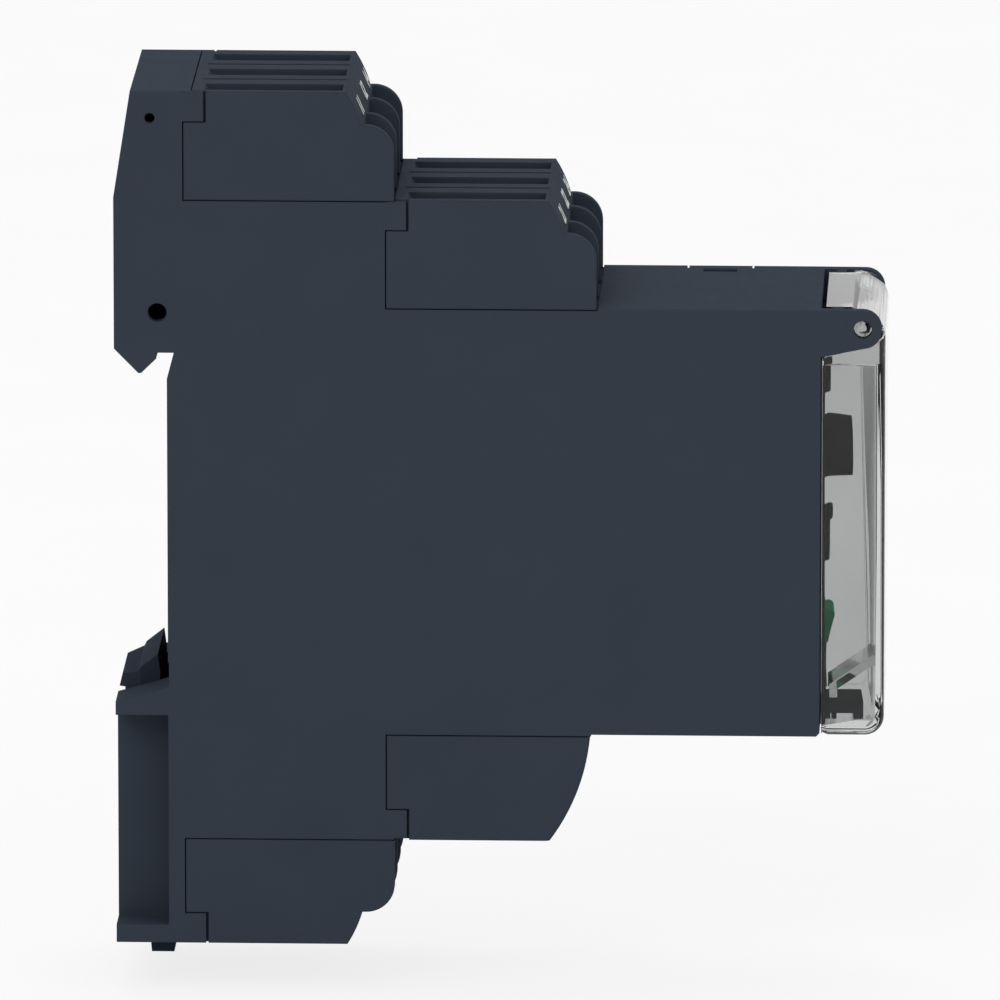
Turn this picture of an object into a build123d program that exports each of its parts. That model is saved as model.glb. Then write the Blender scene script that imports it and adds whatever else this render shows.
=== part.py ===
# Level control relay: a 22.5 mm wide electronic relay module for a 35 mm top-hat rail.
#
# Frame, in millimetres: +X runs from the rail to the front, +Z is up, and +Y runs from the near
# side wall to the side cover. The origin is on the rail plane, at mid width, on the rail's centre line.
# Letters used below: u runs forward from a bay's rear seam, v runs inward from its outer face.
from build123d import *
import os

os.makedirs("parts", exist_ok=True)

# Overall size
width = 22.5
height = 90.0
nose_height = 45.0
nose_front = 67.4
wall = 1.2
cover_plate = 1.2
seam = 0.12
edge_round = 0.2
nose_chamfer = 0.35

near_y = -width / 2
far_y = width / 2
top_z = height / 2
nose_z = nose_height / 2
inner_near = near_y + wall
inner_far = far_y - cover_plate

# Rear outline, with the hook and the seat for the rail
rail_width = 35.0
rail_thickness = 1.0
rail_play = 0.05
rear_x = -5.45
rear_top_x = -3.7
rear_break_z = top_z - 11.15
hook_tip_z = 15.4
hook_tip_x = -2.8
hook_tip_flat = 0.3
hook_lead = 0.6
hook_drop_z = 17.95
seat_relief = 0.75
seat_relief_z = 14.8
seat_foot_z = -15.2
seat_step = 0.1
ledge_top_z = -17.8
ledge_rear_z = -19.4
ledge_under_z = -20.8
base_top_z = -top_z + 1.9
back_wall = 1.3
pin_hole_small = (-1.68, top_z - 2.83, 0.53)
pin_hole_large = (-0.97, 21.78, 0.98)
chamber_front_x = -0.1
chamber_low_z = 19.2

# Bays for the terminal blocks: rear seam, step to the front bay, height of a block
bay_rear = 1.74
bay_step = 20.84
top_drop = (top_z - nose_z) / 2
bottom_drop = top_drop - 0.08
foot_lap = 0.17
top_block_height = top_drop + foot_lap
bottom_block_height = bottom_drop - 0.07
shoulder_u = 0.84
notch_u = 2.24
notch_v = 3.2
lug_seam = 0.25
lug_thickness = 0.5

# Terminal block form
bevel_start_u = 16.8
bevel_end_u = 18.36
bevel_v = 3.45
bevel_crown = 0.14
body_front_u = 18.6
fin_front_u = 21.71
fin_radius = 2.95
fin_thickness = 1.0
fin_places = (0.3044 * width, 0.66 * width)
slot_first = 2.67
slot_pitch = 0.3547 * width
slot_width = 3.25
slot_rear_u = 2.1
slot_front_u = 16.4
slot_depth = 5.0
slot_ramp = 1.3
slot_ramp_depth = 2.0
groove_rear_u = 1.8
groove_front_u = 16.6
groove_width = 0.6
groove_depth = 1.6

# Poles: screw, rising cage and contact bar, all on an axis along X
pole_first = 3.2
pole_pitch = 0.34 * width
pole_count = 3
pole_v = 0.6889 * top_drop
screw_head_radius = 1.9
screw_head_height = 1.8
screw_radius = 1.45
screw_seat_u = 15.75
screw_tip_u = 9.15
driver_slot = 0.6
driver_slot_depth = 0.8
funnel_radius = 2.1
shank_clearance = 0.15
thread_clearance = 0.05
cage_width = 4.3
cage_height = 4.4
cage_rear_u = 4.3
cage_length = 7.1
cage_rear_wall = 0.8
cage_front_wall = 1.6
cage_side_wall = 0.6
cage_travel = 2.0
cage_gap = 0.15
bar_u = 8.15
bar_thickness = 0.8
bar_width = 2.7
bar_reach = 1.9
leg_width = 1.2
leg_gap = 0.15
leg_first = 2.4
leg_step = 1.4
leg_run = 1.0

# Blank block
blank_top_u = 16.95
blank_foot_u = 21.09
blank_mid = (19.86, 0.491 * bottom_block_height)
blank_edge_round = 0.4
blank_wall = 1.3

# Rail clip and its spring
clip_width = 12.4
clip_gap = 0.1
guide_thickness = 0.9
guide_lip = 0.8
guide_lip_top_z = -22.2
clip_tip = (-1.32, -15.45)
clip_heel = (-3.16, -16.9)
clip_brow = (-3.41, -17.35)
clip_shoulder = (-5.1, -17.9)
clip_rear = 0.05
clip_head_low_z = -19.2
clip_head_rear_half = 4.7
clip_front_x = -1.2
clip_plate_low_z = base_top_z + 2.9
clip_travel = 2.6
clip_window_half = 2.0
clip_window_low_z = base_top_z + 4.4
clip_window_high_z = base_top_z + 16.1
spring_lug_top_z = base_top_z + 5.7
spring_lug_height = 1.1
tab_half_width = 4.0
tab_low_z = -top_z - 2.75
tab_rear_x = -2.45
tab_front_x = 0.4
tab_taper = 0.25
tab_slot = (4.4, 1.0)
spring_radius = 1.35
spring_wire = 0.3
spring_turns = 6

# Cover ears and the hinge
ear_thickness = 1.2
pivot = (nose_front + 4.3, nose_z - 2.0)
ear_radius = 1.98
ear_root_z = nose_z - 4.92
ear_root_sink = 0.24
ear_arc_start = -70
ear_arc = 160
ear_hole = 0.93
ear_stop = (nose_front + 1.25, nose_front + 2.35)
ear_stop_width = 1.2
ear_stop_height = 0.75
ear_stop_drop = 0.05
pivot_radius = 0.78
pivot_gap = 0.3
pivot_dome = 0.35

# Clear cover
cover_front_x = nose_front + 6.65
cover_rear_x = nose_front + 0.15
cover_top_rear_x = nose_front + 0.5
cover_top_z = nose_z - 0.1
cover_wall = 1.0
cover_top_radius = 3.0
cover_foot_radius = 2.0
cover_edge_radius = 1.2
cover_ear_gap = 0.15
ear_room_arc = 75
hinge_lug_reach = 1.15
hinge_lug_rise = 0.3

# Front panel and its controls
panel_proud = 0.5
panel_thickness = 1.5
panel_gap = 0.05
panel_recess_z = nose_z - 4.5
panel_recess_x = nose_front - 0.4
bracket_front_x = nose_front + 4.6
bracket_top_z = -nose_z + 3.2
bracket_bar = 1.2
bracket_low_z = -nose_z + 1.4
bracket_rear_leg = (nose_front + 1.35, nose_front + 1.85)
bracket_front_leg = 1.0
bracket_places = (2.6, 8.4)
bracket_root_x = nose_front + 1.2
dial_radius = 3.03
dial_proud = 0.24
dial_sunk = 0.7
dial_gap = 0.12
dial_nub = (1.4, 0.28, 1.0)
upper_dial_z = 0.644 * nose_z
lower_dial_z = -0.147 * nose_z
knob_z = 0.262 * nose_z
knob_radius = 3.3
knob_taper = 0.2
knob_height = 3.17
knob_lift = 0.08
knob_slot = (0.7, 0.6)
stem_radius = 1.0
stem_tip_x = nose_front - 4.2
stem_gap = 0.08
button_half_width = 2.5
button_top_z = -nose_z + 11.75
button_low_z = -nose_z + 3.4
button_rear_x = nose_front - 3.4
button_gap = 0.12
button_crest = (1.29, 0.75)
button_lip_turn = (0.15, 0.3)
button_mid = (0.84, 2.5)
button_waist = (0.4, 4.9)
button_foot_proud = 0.57
lens_radius = 0.9
lens_gap = 0.05
lens_z = nose_z - 2.7
lens_spread = 3.6

# Boards and what stands on them
board_thickness = 1.6
board_near_y = inner_near + 2.65
board_edge_gap = 0.4
main_board_front_x = nose_front - 7.4
front_board_x = nose_front - 7.2
pot_size = 7.0
pot_height = 3.5
switch_size = 6.0
switch_height = 1.3
relay_size = (12.6, 10.2, 28.5)
relay_x = 11.3
core_size = (15.0, 0.53 * width, 15.0)
winding_length = 8.6
winding_gap = 0.1
transformer_x = 0.45 * nose_front
capacitor_diameter = 10.0
capacitor_length = 16.0
capacitor_place = (front_board_x - 18.2, 8.0)
connector_size = (5.0, 2.5, 14.0)
connector_z = -5.0

# Snap tongue between side cover and casing
snap_window = (nose_front - 12.6, nose_front - 9.1)
snap_window_y = (width - 3.05, width - 1.6)
snap_slits = (nose_front - 14.2, nose_front - 7.45)
snap_slit_width = 0.2
snap_thickness = 0.9
snap_gap = 0.1


def side_plane(y):
    """Side view at depth y: x is forward, y is up, and extruding goes towards the near side."""
    return Plane(origin=(0, y, 0), x_dir=(1, 0, 0), z_dir=(0, -1, 0))


def front_plane(x):
    """Front view at depth x: x is +Y, y is up, and extruding goes forwards."""
    return Plane(origin=(x, 0, 0), x_dir=(0, 1, 0), z_dir=(1, 0, 0))


def slab(points, y_low, y_high, mode=Mode.ADD):
    """Closed outline in the side view, filled from y_low to y_high."""
    with BuildSketch(side_plane(y_high)) as outline:
        with BuildLine():
            Polyline(*points, close=True)
        make_face()
    extrude(outline.sketch, amount=y_high - y_low, mode=mode)


def brick(x_range, y_range, z_range, mode=Mode.ADD):
    """Box between two corners."""
    middle = [(low + high) / 2 for low, high in (x_range, y_range, z_range)]
    size = [abs(high - low) for low, high in (x_range, y_range, z_range)]
    with Locations(tuple(middle)):
        Box(*size, mode=mode)


def rod(y, z, radius, x_low, x_high, mode=Mode.ADD):
    """Round bar along X."""
    with BuildSketch(front_plane(x_low)) as disc:
        with Locations((y, z)):
            Circle(radius)
    extrude(disc.sketch, amount=x_high - x_low, mode=mode)


def cross_hole(x, z, radius, y_low, y_high):
    """Round hole along Y."""
    with BuildSketch(side_plane(y_high)) as disc:
        with Locations((x, z)):
            Circle(radius)
    extrude(disc.sketch, amount=y_high - y_low, mode=Mode.SUBTRACT)


def finish(builder, label):
    """Name a finished piece and write it."""
    builder.part.label = label
    export_step(builder.part, f"parts/{label}.step")


def depth(from_near):
    """Depth in the part's frame of a place measured from the near side face."""
    return near_y + from_near


# Each bay: x of its rear seam, z of its outer face, block height, and +1 at the top or -1 at the bottom
top_rear_bay = (bay_rear, top_z, top_block_height, 1)
top_front_bay = (bay_rear + bay_step, top_z - top_drop, top_block_height, 1)
bottom_rear_bay = (bay_rear, top_z, bottom_block_height, -1)
bottom_front_bay = (bay_rear + bay_step, top_z - bottom_drop, bottom_block_height, -1)
bays = (top_rear_bay, top_front_bay, bottom_rear_bay, bottom_front_bay)
terminal_bays = (top_rear_bay, top_front_bay, bottom_rear_bay)
half_seam = seam / 2
fin_end_gap = seam


def place(bay, u, v):
    """Side-view point of a bay, u forward of its rear seam and v inward of its outer face."""
    rear, outer, _, side = bay
    return rear + u, side * (outer - v)


def z_range(bay, v_low, v_high):
    """Heights in the part's frame of two places in a bay, lowest first."""
    return tuple(sorted((place(bay, 0, v_low)[1], place(bay, 0, v_high)[1])))


def bay_steps(rear_bay, front_bay):
    """Stepped outline that the two blocks of one side leave in the housing, from the rear forwards."""
    notch = notch_v - half_seam
    foot = rear_bay[2] + half_seam
    return [
        place(rear_bay, shoulder_u - half_seam, 0),
        place(rear_bay, shoulder_u - half_seam, notch),
        place(rear_bay, -half_seam, notch),
        place(rear_bay, -half_seam, foot),
        (front_bay[0] + shoulder_u - half_seam, place(rear_bay, 0, foot)[1]),
        place(front_bay, shoulder_u - half_seam, notch),
        place(front_bay, -half_seam, notch),
        place(front_bay, -half_seam, front_bay[2] + half_seam),
    ]


top_steps = bay_steps(top_rear_bay, top_front_bay)
bottom_steps = bay_steps(bottom_rear_bay, bottom_front_bay)
top_recess_end = place(top_front_bay, fin_front_u + fin_end_gap, 0)[0]
bottom_recess_end = place(bottom_front_bay, blank_foot_u + fin_end_gap, 0)[0]
hook_gap_x = -(rail_thickness + rail_play)
rail_half = rail_width / 2

front_edge = [
    (top_recess_end, top_steps[-1][1]),
    (top_recess_end, nose_z),
    (nose_front, nose_z),
    (nose_front, -nose_z + nose_chamfer),
    (nose_front - nose_chamfer, -nose_z),
    (bottom_recess_end, -nose_z),
    (bottom_recess_end, bottom_steps[-1][1]),
]
rear_edge = [
    (rear_x, -top_z),
    (rear_x, base_top_z),
    (0, base_top_z),
    (0, ledge_under_z),
    (rear_x, ledge_under_z),
    (rear_x, ledge_rear_z),
    (seat_step, ledge_top_z),
    (seat_step, seat_foot_z),
    (0, seat_foot_z),
    (0, seat_relief_z),
    (seat_relief, rail_half + rail_play),
    (hook_gap_x, rail_half + rail_play),
    (hook_gap_x - rail_play, rail_half - hook_lead),
    (hook_tip_x + hook_tip_flat / 2, hook_tip_z),
    (hook_tip_x - hook_tip_flat / 2, hook_tip_z),
    (rear_x, hook_drop_z),
    (rear_x, rear_break_z),
    (rear_top_x, top_z),
]
housing_outline = top_steps + front_edge + bottom_steps[::-1] + rear_edge


def bay_lugs(y_low, y_high):
    """Thin side lugs that lap over the corner of each block."""
    for bay in bays:
        inner = notch_v - half_seam
        top = 0 if bay in (top_rear_bay, bottom_rear_bay) else foot_lap
        lug_end = notch_u - lug_seam / 2
        corners = [
            place(bay, 0, inner),
            place(bay, lug_end, inner),
            place(bay, lug_end, top),
            place(bay, 0, top),
        ]
        slab(corners, y_low, y_high)


def ear(y_low, y_high):
    """Hinge ear in front of a side wall: round tip, straight underside, pin hole."""
    with BuildSketch(side_plane(y_high)) as face:
        with BuildLine():
            root = (nose_front - wall, ear_root_z - ear_root_sink)
            tip = CenterArc(pivot, ear_radius, ear_arc_start, ear_arc)
            Polyline(tip @ 1, (nose_front - wall, nose_z), root, tip @ 0)
        make_face()
        with Locations(pivot):
            Circle(ear_hole, mode=Mode.SUBTRACT)
    extrude(face.sketch, amount=y_high - y_low)


def ear_stop_block(y_low, y_high):
    """Small stop on the inner face of an ear."""
    brick(ear_stop, (y_low, y_high), (nose_z - ear_stop_height, nose_z - ear_stop_drop))


def leg_slots(bay, v_low, v_high):
    """Slots for the legs of a bay's contact bars, cut between two depths."""
    for pole in range(pole_count):
        y = depth(pole_first + pole * pole_pitch)
        x_low = place(bay, bar_u - leg_gap, 0)[0]
        x_high = place(bay, bar_u + bar_thickness + leg_gap, 0)[0]
        half = leg_width / 2 + leg_gap
        brick((x_low, x_high), (y - half, y + half), z_range(bay, v_low, v_high), mode=Mode.SUBTRACT)


# Casing: near wall, perimeter walls, rail hook, clip guides and near ear in one moulding
cavity_top_z = top_steps[3][1] - wall
cavity_bottom_z = bottom_steps[3][1] + wall
cavity_step_x = top_steps[-1][0] - wall
nose_ceiling = top_steps[-1][1] - wall
nose_floor = bottom_steps[-1][1] + wall
guide_inner = clip_width / 2 + clip_gap
guide_outer = guide_inner + guide_thickness
body_cavity = [
    (back_wall, cavity_bottom_z),
    (back_wall, cavity_top_z),
    (cavity_step_x, cavity_top_z),
    (cavity_step_x, nose_ceiling),
    (nose_front + wall, nose_ceiling),
    (nose_front + wall, nose_floor),
    (cavity_step_x, nose_floor),
    (cavity_step_x, cavity_bottom_z),
]
rear_chamber = [
    (rear_x + wall, chamber_low_z),
    (rear_x + wall, rear_break_z),
    (rear_top_x + wall, top_z - wall),
    (chamber_front_x, top_z - wall),
    (chamber_front_x, chamber_low_z),
]

with BuildPart() as casing:
    slab(housing_outline, near_y, inner_far)
    top_corners = casing.edges().filter_by(Axis.X).filter_by(
        lambda e: abs(e.center().Y - near_y) < seam and e.center().Z > nose_z - seam and e.length > wall
    )
    free_corners = [
        edge for edge in top_corners
        if abs(edge.center().Z - nose_z) < seam or abs(edge.center().Z - top_z) < seam
    ]
    fillet(free_corners, radius=edge_round)
    slab(body_cavity, inner_near, inner_far, mode=Mode.SUBTRACT)
    slab(rear_chamber, inner_near, inner_far, mode=Mode.SUBTRACT)
    bay_lugs(near_y, near_y + lug_thickness)
    ear(near_y, near_y + ear_thickness)
    ear_stop_block(near_y + ear_thickness, near_y + ear_thickness + ear_stop_width)
    # Channel for the clip, with guide walls and lips that hold it in
    brick((rear_x - wall, 0), (-guide_inner, guide_inner), (ledge_under_z, 0), mode=Mode.SUBTRACT)
    for hand in (-1, 1):
        brick((rear_x, 0), (hand * guide_inner, hand * guide_outer), (base_top_z, ledge_under_z))
        brick(
            (rear_x, rear_x + guide_lip),
            (hand * (guide_inner - guide_lip), hand * guide_inner),
            (base_top_z, guide_lip_top_z),
        )
    brick(
        (tab_rear_x - clip_gap, tab_front_x + clip_gap),
        (-tab_half_width - clip_gap, tab_half_width + clip_gap),
        (-top_z, base_top_z),
        mode=Mode.SUBTRACT,
    )
    brick(
        (rear_x + guide_lip, 0),
        (-clip_window_half + clip_gap * 2, clip_window_half - clip_gap * 2),
        (spring_lug_top_z - spring_lug_height, spring_lug_top_z),
    )
    for x, z, radius in (pin_hole_small, pin_hole_large):
        cross_hole(x, z, radius, near_y, inner_near)
    for bay in terminal_bays:
        leg_slots(bay, bay[2] - seam, bay[2] + 2 * wall)
    brick(
        snap_window,
        tuple(depth(y) for y in snap_window_y),
        (nose_ceiling - wall, nose_z + wall),
        mode=Mode.SUBTRACT,
    )
finish(casing, "casing")

# Side cover: far wall with lugs, far ear and a snap tongue at the top of the nose
with BuildPart() as side_cover:
    slab(housing_outline, inner_far, far_y)
    bay_lugs(far_y - lug_thickness, far_y)
    ear(far_y - ear_thickness, far_y)
    ear_stop_block(far_y - ear_thickness - ear_stop_width, far_y - ear_thickness)
    brick(
        (rear_x - wall, 0),
        (inner_far, far_y),
        (base_top_z, ledge_under_z),
        mode=Mode.SUBTRACT,
    )
    tongue_low_y = depth(snap_window_y[0] + snap_gap)
    brick(
        (snap_window[0] + snap_gap, snap_window[1] - snap_gap),
        (tongue_low_y, inner_far),
        (nose_ceiling - snap_gap - snap_thickness, nose_ceiling - snap_gap),
    )
    brick(
        (snap_window[0] + snap_gap, snap_window[1] - snap_gap),
        (tongue_low_y, depth(snap_window_y[1] - snap_gap)),
        (nose_ceiling - snap_gap, nose_ceiling + wall / 2),
    )
    for slit_x in snap_slits:
        brick(
            (slit_x - snap_slit_width / 2, slit_x + snap_slit_width / 2),
            (inner_far, far_y),
            (nose_z - wall / 2, nose_z),
            mode=Mode.SUBTRACT,
        )
finish(side_cover, "side_cover")


def block_outline(bay):
    """Side outline of a terminal block between its fins, with the crowned bevel at the front."""
    length = bay[2] - half_seam
    mid_u = (bevel_start_u + bevel_end_u) / 2 + bevel_crown
    with BuildSketch(side_plane(far_y)) as outline:
        with BuildLine():
            Polyline(
                place(bay, bevel_start_u, 0),
                place(bay, shoulder_u + half_seam, 0),
                place(bay, shoulder_u + half_seam, notch_v + half_seam),
                place(bay, half_seam, notch_v + half_seam),
                place(bay, half_seam, length),
                place(bay, body_front_u, length),
                place(bay, body_front_u, bevel_v),
                place(bay, bevel_end_u, bevel_v),
            )
            ThreePointArc(
                place(bay, bevel_end_u, bevel_v),
                place(bay, mid_u, bevel_v / 2),
                place(bay, bevel_start_u, 0),
            )
        make_face()
    return outline.sketch


def fin_outline(bay, y_high):
    """Side outline of one fin: flat top, quarter-round shoulder, straight front."""
    length = bay[2] - half_seam
    arc_u = fin_front_u - fin_radius
    turn = fin_radius * (1 - 0.5 ** 0.5)
    with BuildSketch(side_plane(y_high)) as outline:
        with BuildLine():
            Polyline(
                place(bay, arc_u, bevel_v),
                place(bay, bevel_end_u - seam, bevel_v),
                place(bay, bevel_end_u - seam, length),
                place(bay, fin_front_u, length),
                place(bay, fin_front_u, bevel_v + fin_radius),
            )
            ThreePointArc(
                place(bay, fin_front_u, bevel_v + fin_radius),
                place(bay, fin_front_u - turn, bevel_v + turn),
                place(bay, arc_u, bevel_v),
            )
        make_face()
    return outline.sketch


def terminal_block(bay, label):
    """Moulded three-pole block: fins, wire slots, grooves, screw funnels and cage pockets."""
    slot_rows = [depth(slot_first + pole * slot_pitch) for pole in range(pole_count)]
    pole_rows = [depth(pole_first + pole * pole_pitch) for pole in range(pole_count)]
    axis_z = place(bay, 0, pole_v)[1]
    with BuildPart() as block:
        extrude(block_outline(bay), amount=width)
        fin_centres = [fin_thickness / 2, *fin_places, width - fin_thickness / 2]
        for centre in fin_centres:
            y_high = depth(centre + fin_thickness / 2)
            extrude(fin_outline(bay, y_high), amount=fin_thickness)
        # Corners that the side lugs of the housing lap over
        for y_low, y_high in ((near_y, near_y + lug_thickness), (far_y - lug_thickness, far_y)):
            reach = seam if y_low == near_y else -seam
            corner = [
                place(bay, -1, -1),
                place(bay, notch_u + lug_seam / 2, -1),
                place(bay, notch_u + lug_seam / 2, notch_v + half_seam),
                place(bay, -1, notch_v + half_seam),
            ]
            slab(corner, y_low + min(reach, 0), y_high + max(reach, 0), mode=Mode.SUBTRACT)
        # Wire slots, each with a lead-in ramp at its rear end
        for y in slot_rows:
            ramped_slot = [
                place(bay, slot_rear_u, -seam),
                place(bay, slot_front_u, -seam),
                place(bay, slot_front_u, slot_depth),
                place(bay, slot_rear_u + slot_ramp, slot_depth),
                place(bay, slot_rear_u + slot_ramp, slot_ramp_depth),
            ]
            slab(ramped_slot, y - slot_width / 2, y + slot_width / 2, mode=Mode.SUBTRACT)
        for centre in fin_places:
            x_range = (place(bay, groove_rear_u, 0)[0], place(bay, groove_front_u, 0)[0])
            y_range = (depth(centre - groove_width / 2), depth(centre + groove_width / 2))
            brick(x_range, y_range, z_range(bay, -seam, groove_depth), mode=Mode.SUBTRACT)
        pocket_end_u = cage_rear_u + cage_length + cage_travel + 2 * cage_gap
        half_pocket = cage_width / 2 + cage_gap
        for y in pole_rows:
            brick(
                (place(bay, cage_rear_u - cage_gap, 0)[0], place(bay, pocket_end_u, 0)[0]),
                (y - half_pocket, y + half_pocket),
                z_range(bay, pole_v - cage_height / 2 - cage_gap, pole_v + cage_height / 2 + cage_gap),
                mode=Mode.SUBTRACT,
            )
            brick(
                (place(bay, cage_rear_u, 0)[0], place(bay, pocket_end_u - cage_gap, 0)[0]),
                (y - slot_width / 2, y + slot_width / 2),
                z_range(bay, slot_depth - seam, pole_v),
                mode=Mode.SUBTRACT,
            )
            seat_x = place(bay, screw_seat_u, 0)[0]
            front_x = place(bay, body_front_u, 0)[0] + seam
            rod(y, axis_z, funnel_radius, seat_x, front_x, mode=Mode.SUBTRACT)
            pocket_x = place(bay, pocket_end_u - cage_gap, 0)[0]
            half_shank = screw_radius + shank_clearance
            brick(
                (pocket_x, seat_x),
                (y - half_shank, y + half_shank),
                (axis_z - half_shank, axis_z + half_shank),
                mode=Mode.SUBTRACT,
            )
        leg_slots(bay, pole_v, bay[2])
    finish(block, label)


terminal_block(top_rear_bay, "terminal_block_top_rear")
terminal_block(top_front_bay, "terminal_block_top_front")
terminal_block(bottom_rear_bay, "terminal_block_bottom_rear")

# Blank block: the same corner and seams, a convex front, hollow from its foot
with BuildPart() as blank_block:
    bay = bottom_front_bay
    length = bay[2] - half_seam
    with BuildSketch(side_plane(far_y)) as outline:
        with BuildLine():
            Polyline(
                place(bay, blank_top_u, 0),
                place(bay, shoulder_u + half_seam, 0),
                place(bay, shoulder_u + half_seam, notch_v + half_seam),
                place(bay, half_seam, notch_v + half_seam),
                place(bay, half_seam, length),
                place(bay, blank_foot_u, length),
            )
            ThreePointArc(
                place(bay, blank_foot_u, length),
                place(bay, *blank_mid),
                place(bay, blank_top_u, 0),
            )
        make_face()
    extrude(amount=width)
    front_arcs = blank_block.edges().filter_by(GeomType.CIRCLE)
    fillet(front_arcs, radius=blank_edge_round)
    for y_low, y_high in ((near_y, near_y + lug_thickness + seam), (far_y - lug_thickness - seam, far_y)):
        corner = [
            place(bay, -1, -1),
            place(bay, notch_u + lug_seam / 2, -1),
            place(bay, notch_u + lug_seam / 2, notch_v + half_seam),
            place(bay, -1, notch_v + half_seam),
        ]
        slab(corner, y_low, y_high, mode=Mode.SUBTRACT)
    hollow = [
        place(bay, notch_u + blank_wall, blank_wall),
        place(bay, blank_top_u - blank_wall, blank_wall),
        place(bay, blank_mid[0] - 2 * blank_wall, blank_mid[1]),
        place(bay, blank_mid[0] - 2 * blank_wall, bay[2]),
        place(bay, notch_u + blank_wall, bay[2]),
    ]
    slab(hollow, near_y + blank_wall, far_y - blank_wall, mode=Mode.SUBTRACT)
finish(blank_block, "blank_block_bottom_front")

# Screws, rising cages and contact bars, numbered block by block from the near side
board_far_y = board_near_y + board_thickness
number = 0
for bay in terminal_bays:
    side = bay[3]
    axis_z = place(bay, 0, pole_v)[1]
    for pole in range(pole_count):
        number += 1
        y = depth(pole_first + pole * pole_pitch)
        seat_x = place(bay, screw_seat_u, 0)[0] + thread_clearance
        head_x = seat_x + screw_head_height
        with BuildPart() as screw:
            rod(y, axis_z, screw_radius, place(bay, screw_tip_u, 0)[0], seat_x)
            rod(y, axis_z, screw_head_radius, seat_x, head_x)
            brick(
                (head_x - driver_slot_depth, head_x + seam),
                (y - driver_slot / 2, y + driver_slot / 2),
                (axis_z - screw_head_radius - seam, axis_z + screw_head_radius + seam),
                mode=Mode.SUBTRACT,
            )
        finish(screw, f"terminal_screw_{number}")

        cage_x = place(bay, cage_rear_u, 0)[0]
        cage_end = cage_x + cage_length
        half_cage = cage_height / 2
        with BuildPart() as clamp:
            brick(
                (cage_x, cage_end),
                (y - cage_width / 2, y + cage_width / 2),
                (axis_z - half_cage, axis_z + half_cage),
            )
            inner_half = cage_width / 2 - cage_side_wall
            brick(
                (cage_x + cage_rear_wall, cage_end - cage_front_wall),
                (y - inner_half, y + inner_half),
                (axis_z - half_cage, axis_z + half_cage),
                mode=Mode.SUBTRACT,
            )
            rod(
                y, axis_z, screw_radius + thread_clearance,
                cage_end - cage_front_wall, cage_end, mode=Mode.SUBTRACT,
            )
        finish(clamp, f"wire_clamp_{number}")

        bar_x = place(bay, bar_u, 0)[0]
        foot_v = bay[2] + leg_first + (leg_step * pole)
        foot_z = place(bay, 0, foot_v)[1]
        if pole == 0:
            run_y = (y - leg_width / 2, board_near_y)
        else:
            run_y = (board_far_y, y + leg_width / 2)
        with BuildPart() as bar:
            brick(
                (bar_x, bar_x + bar_thickness),
                (y - bar_width / 2, y + bar_width / 2),
                z_range(bay, pole_v - bar_reach, pole_v + cage_height / 2),
            )
            brick(
                (bar_x, bar_x + bar_thickness),
                (y - leg_width / 2, y + leg_width / 2),
                z_range(bay, pole_v, foot_v),
            )
            brick(
                (bar_x, bar_x + bar_thickness),
                run_y,
                (foot_z - leg_run / 2, foot_z + leg_run / 2),
            )
        finish(bar, f"contact_bar_{number}")

# Rail clip: jaw over the rail's lower edge, plate in the guides, pull tab below the housing
clip_half = clip_width / 2
clip_rear_x = rear_x + clip_rear
lip_x = rear_x + guide_lip + clip_gap
jaw = [
    clip_tip,
    clip_heel,
    clip_brow,
    clip_shoulder,
    (clip_rear_x, clip_head_low_z),
    (lip_x, clip_head_low_z),
    (lip_x, clip_plate_low_z),
    (clip_front_x, clip_plate_low_z),
    (clip_front_x, clip_head_low_z),
    (-(rail_thickness + rail_play), -rail_half),
]
tab = [
    (tab_rear_x, clip_plate_low_z),
    (tab_rear_x, -top_z),
    (tab_rear_x + tab_taper, tab_low_z),
    (tab_front_x - tab_taper, tab_low_z),
    (tab_front_x, -top_z),
    (tab_front_x, -top_z + wall),
    (clip_front_x, base_top_z + wall),
    (clip_front_x, clip_plate_low_z),
]
with BuildPart() as rail_clip:
    slab(jaw, -clip_half, clip_half)
    slab(tab, -tab_half_width, tab_half_width)
    # The head's rear corners are cut in plan, to clear the guides
    for hand in (-1, 1):
        with BuildSketch(Plane.XY.offset(clip_head_low_z)) as corner_cut:
            with BuildLine():
                Polyline(
                    (clip_heel[0], hand * clip_half),
                    (clip_rear_x, hand * clip_head_rear_half),
                    (clip_rear_x - wall, hand * clip_head_rear_half),
                    (clip_rear_x - wall, hand * (clip_half + wall)),
                    (clip_heel[0], hand * (clip_half + wall)),
                    close=True,
                )
            make_face()
        extrude(corner_cut.sketch, amount=clip_tip[1] - clip_head_low_z, mode=Mode.SUBTRACT)
    brick(
        (rear_x, 0),
        (-clip_window_half, clip_window_half),
        (clip_window_low_z, clip_window_high_z),
        mode=Mode.SUBTRACT,
    )
    slot_width_y, slot_height_z = tab_slot
    slot_mid_z = (tab_low_z - top_z) / 2
    brick(
        (tab_rear_x, tab_front_x),
        (-slot_width_y / 2, slot_width_y / 2),
        (slot_mid_z - slot_height_z / 2, slot_mid_z + slot_height_z / 2),
        mode=Mode.SUBTRACT,
    )
finish(rail_clip, "rail_clip")

# Coil spring between the lug in the housing and the top of the clip's window
spring_x = (lip_x + clip_front_x) / 2
spring_low = spring_lug_top_z + spring_wire
spring_high = clip_window_high_z - spring_wire
with BuildPart() as clip_spring:
    with BuildLine() as coil:
        Helix(
            pitch=(spring_high - spring_low) / spring_turns,
            height=spring_high - spring_low,
            radius=spring_radius,
            center=(spring_x, 0, spring_low),
        )
    with BuildSketch(Plane(origin=coil.line @ 0, z_dir=coil.line % 0)):
        RegularPolygon(radius=spring_wire, side_count=6)
    sweep(path=coil.line, is_frenet=True)
finish(clip_spring, "clip_spring")

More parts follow.
